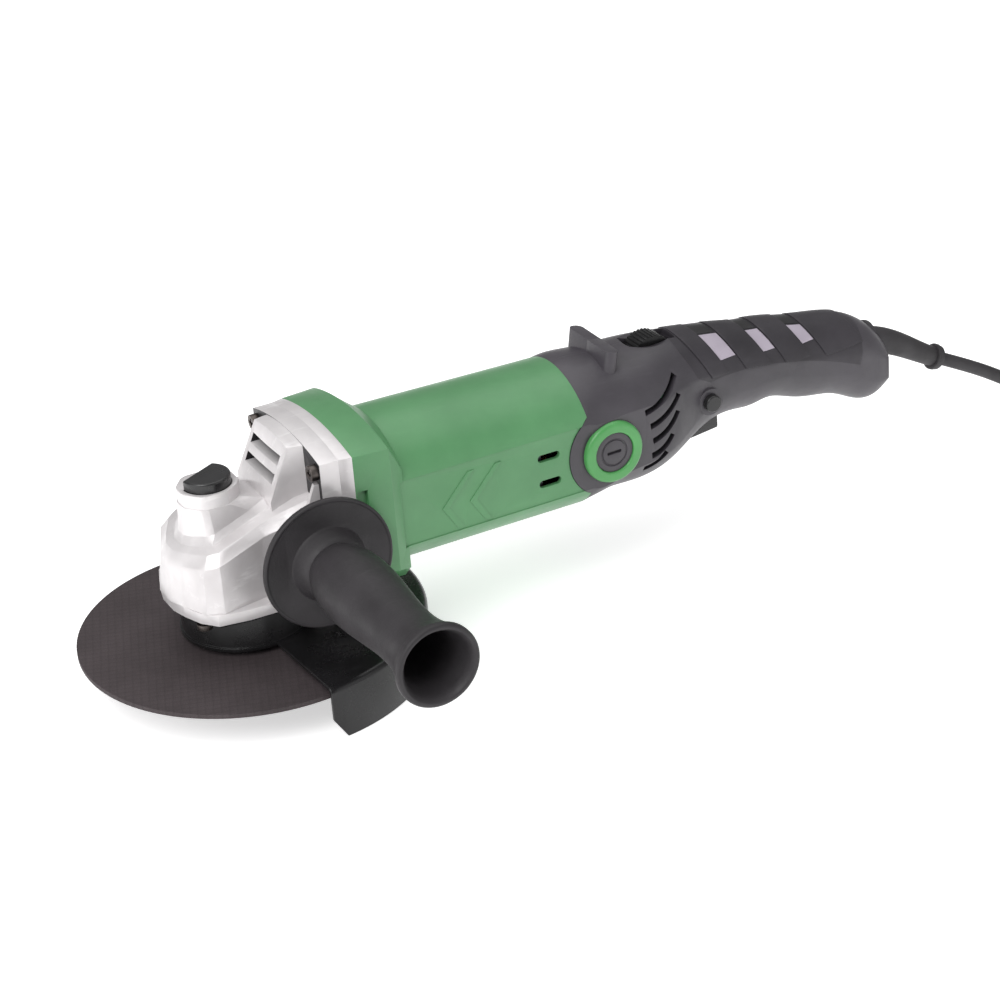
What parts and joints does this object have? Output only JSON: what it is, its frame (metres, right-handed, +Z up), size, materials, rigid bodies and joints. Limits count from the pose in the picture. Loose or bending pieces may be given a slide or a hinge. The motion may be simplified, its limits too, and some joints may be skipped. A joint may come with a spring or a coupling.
{
  "type": "angle grinder",
  "caption": "Corded long-handled angle grinder with side handle, disc guard, abrasive cutting disc, spindle lock, speed dial, trigger and put-away mains lead.",
  "frame": {"origin": "on the output spindle's axis, at the face of the inner flange that the disc is clamped against", "axes": "+Z up the spindle, away from the disc; +X along the motor towards the tail; the side handle points to -Y"},
  "size_m": [0.6275, 0.2284, 0.1094],
  "materials": {
    "cast_aluminium": "bead-blasted die casting",
    "black_cast": "black coated casting",
    "dark_steel": "blackened screws",
    "bearing_steel": "ground bearing steel",
    "black_gloss_plastic": "smooth black moulding",
    "spring_steel": "drawn wire",
    "machined_steel": "turned steel",
    "gear_steel": "hardened, oiled",
    "bonded_abrasive": "resin bonded abrasive with glass mesh",
    "black_painted_steel": "gloss black coated sheet",
    "black_moulded_plastic": "fine textured moulding",
    "green_plastic": "satin moulding",
    "green_ring_plastic": "satin moulding",
    "black_plastic": "satin moulding",
    "grip_rubber": "soft overmould",
    "laminated_steel": "stacked laminations",
    "copper_windings": "lacquered copper wire",
    "commutator_copper": "turned copper bars",
    "fan_plastic": "glass filled moulding",
    "brass_stampings": "stamped brass",
    "carbon": "pressed carbon",
    "dial_plastic": "knurled moulding",
    "circuit_board": "laminate board",
    "switch_plastic": "moulding",
    "capacitor_case": "moulded case",
    "cord_rubber": "rubber sheath",
    "plug_plastic": "moulded plug",
    "plated_brass": "nickel plated pins"
  },
  "bodies": {
    "housing": {"gear_housing": "cast_aluminium", "bearing_plate": "cast_aluminium", "spindle_cover": "black_cast", "head_screws": "dark_steel", "cover_screws": "dark_steel", "spindle_bearing": "bearing_steel", "needle_bearing": "bearing_steel", "front_bearing": "bearing_steel", "rear_bearing": "bearing_steel", "lock_spring": "spring_steel", "side_handle": "black_moulded_plastic", "handle_flange": "black_moulded_plastic", "handle_stud": "machined_steel", "motor_housing": "green_plastic", "fan_baffle": "black_plastic", "field_stator": "laminated_steel", "field_windings": "copper_windings", "brush_holders": "brass_stampings", "carbon_brushes": "carbon", "brush_springs": "spring_steel", "brush_caps": "black_plastic", "brush_cap_rings": "green_ring_plastic", "rear_housing_left": "black_plastic", "rear_housing_right": "black_plastic", "grip_overmould": "grip_rubber", "housing_screws": "dark_steel", "speed_board": "circuit_board", "trigger_pin": "machined_steel", "switch_module": "switch_plastic", "capacitor": "capacitor_case", "cord_clamp": "switch_plastic", "strain_relief": "cord_rubber", "cord_tube": "cord_rubber", "cord_coil": "cord_rubber", "plug_body": "plug_plastic", "plug_pins": "plated_brass"},
    "armature": {"armature_shaft": "machined_steel", "armature_core": "laminated_steel", "armature_windings": "copper_windings", "commutator": "commutator_copper", "cooling_fan": "fan_plastic", "drive_pinion": "gear_steel"},
    "output_spindle": {"spindle": "machined_steel", "drive_gear": "gear_steel", "inner_flange": "machined_steel", "cutting_disc": "bonded_abrasive", "lock_nut": "machined_steel"},
    "guard": {"guard_shell": "black_painted_steel", "guard_collar": "black_painted_steel", "guard_screw": "dark_steel"},
    "lock_button": {"spindle_lock_button": "black_gloss_plastic"},
    "trigger_paddle": {"trigger": "black_gloss_plastic"},
    "lock_on": {"lock_on_button": "black_gloss_plastic"},
    "dial": {"speed_dial": "dial_plastic"}
  },
  "joints": [
    {"name": "armature_spin", "type": "hinge", "parent": "housing", "child": "armature", "pos_m": [0, 0, 0.0482], "axis": [1, 0, 0], "continuous": true},
    {"name": "spindle_spin", "type": "hinge", "parent": "housing", "child": "output_spindle", "pos_m": [0, 0, 0], "axis": [0, 0, 1], "continuous": true},
    {"name": "guard_turn", "type": "hinge", "parent": "housing", "child": "guard", "pos_m": [0, 0, 0.01], "axis": [0, 0, 1], "range_deg": [-60, 60]},
    {"name": "lock_button_press", "type": "slide", "parent": "housing", "child": "lock_button", "axis": [0, 0, -1], "range_m": [0, 0.004], "stiffness_N_per_m": 1200, "springref_m": -0.002, "deforming": ["lock_spring"]},
    {"name": "trigger_pull", "type": "hinge", "parent": "housing", "child": "trigger_paddle", "pos_m": [0.215, 0, 0.034], "axis": [0, -1, 0], "range_deg": [0, 8], "stiffness_Nm_per_rad": 0.8, "springref_deg": -5.73},
    {"name": "lock_on_press", "type": "slide", "parent": "housing", "child": "lock_on", "axis": [0, 1, 0], "range_m": [0, 0.0025], "stiffness_N_per_m": 800, "springref_m": -0.001},
    {"name": "speed_dial_turn", "type": "hinge", "parent": "housing", "child": "dial", "pos_m": [0.2075, 0, 0.0722], "axis": [0, 1, 0], "range_deg": [0, 270]}
  ],
  "couplings": [
    {"joint": "spindle_spin", "follows": "armature_spin", "ratio": 0.30303}
  ]
}
